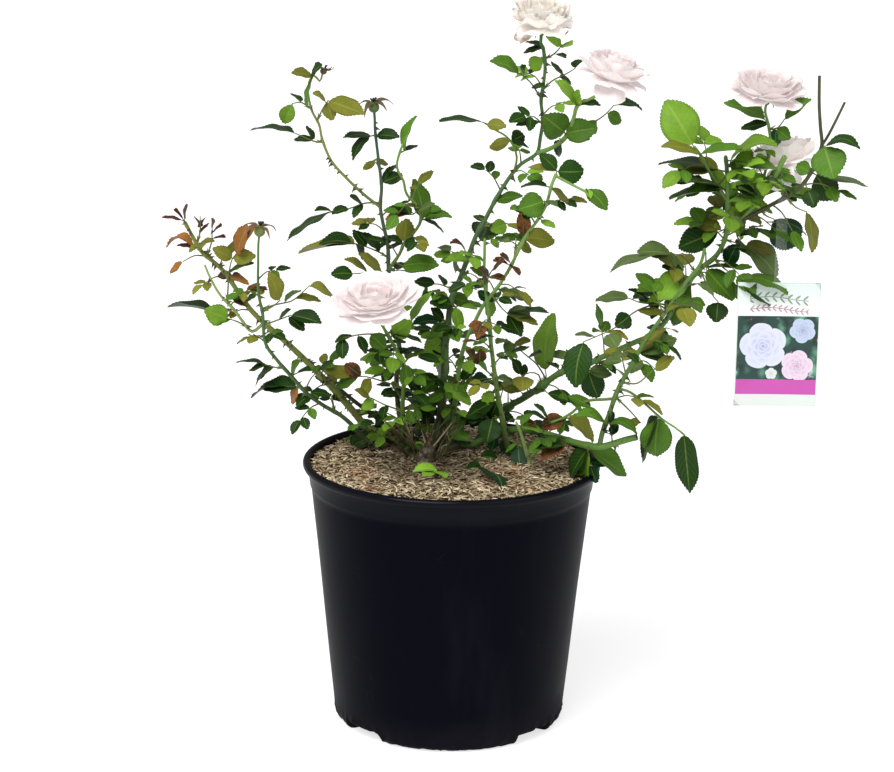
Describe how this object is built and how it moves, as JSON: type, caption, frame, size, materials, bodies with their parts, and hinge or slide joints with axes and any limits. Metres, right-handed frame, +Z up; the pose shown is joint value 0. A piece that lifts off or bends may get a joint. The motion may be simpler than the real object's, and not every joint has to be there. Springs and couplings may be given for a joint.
{
  "type": "potted climbing rose",
  "caption": "Climbing rose with arching thorny canes, compound leaves, pale blooms and hips, in a black nursery pot with rice-hull mulch and a care tag hung on a branch.",
  "frame": {"origin": "centre of the pot's foot, on the ground it stands on", "axes": "+Z up along the pot's axis, the front of the plant faces -Y, +X to the right seen from the front, the side with the care tag"},
  "size_m": [0.6328, 0.2764, 0.6861],
  "materials": {
    "pot": "satin blue-black moulded plastic with faint scuffs",
    "mix": "dark peat and bark potting mix",
    "mulch": "loose dry rice hulls, pale straw with darker gaps",
    "wood": "dry brown bark",
    "green_stem": "smooth green bark with prickles",
    "leaf": "waxy veined leaf, dark to bright green, some bronze",
    "petal": "soft pale pink petal, browned at the edge on the fading bloom",
    "card": "printed plastic card",
    "strap": "clear milky plastic"
  },
  "bodies": {
    "root": {"nursery_pot": "pot", "potting_mix": "mix", "rice_hull_mulch": "mulch", "rose_crown": "wood", "cane_left_arch": "wood", "cane_left_old": "green_stem", "cane_left_hip": "green_stem", "cane_star_hip": "green_stem", "shoot_star_right": "green_stem", "shoot_star_left": "green_stem", "cane_left_bloom": "green_stem", "cane_main": "wood", "shoot_main_right": "green_stem", "cane_slanting": "green_stem", "cane_upright": "green_stem", "cane_right_arch": "green_stem", "shoot_cut": "green_stem", "shoot_stubs": "green_stem", "cane_right_low": "green_stem", "cane_right_back": "green_stem", "sucker_right": "green_stem", "bloom_top_calyx": "green_stem", "bloom_top_outer_petals": "petal", "bloom_top_inner_petals": "petal", "bloom_right_calyx": "green_stem", "bloom_right_outer_petals": "petal", "bloom_right_inner_petals": "petal", "bloom_far_right_calyx": "green_stem", "bloom_far_right_outer_petals": "petal", "bloom_far_right_inner_petals": "petal", "bloom_hidden_calyx": "green_stem", "bloom_hidden_outer_petals": "petal", "bloom_hidden_inner_petals": "petal", "bloom_left_calyx": "green_stem", "bloom_left_outer_petals": "petal", "bloom_left_inner_petals": "petal", "hip_dark": "green_stem", "hip_star": "green_stem", "hip_tiny": "green_stem", "leaf_left_bronze": "leaf", "leaf_left_olive": "leaf", "leaf_star_dark": "leaf", "leaf_star_olive": "leaf", "leaf_upper_olive": "leaf", "leaf_low_mottled": "leaf", "leaf_middle_fan": "leaf", "leaf_middle_long": "leaf", "leaf_tall_pale": "leaf", "leaf_right_long": "leaf", "leaf_above_tag": "leaf", "leaf_bloom_right": "leaf", "leaf_top_bloom": "leaf", "fallen_leaf_1": "leaf", "fallen_leaf_2": "leaf", "fallen_leaf_3": "leaf", "fallen_leaf_4": "leaf", "care_tag": "card", "tag_strap": "strap"}
  },
  "joints": []
}
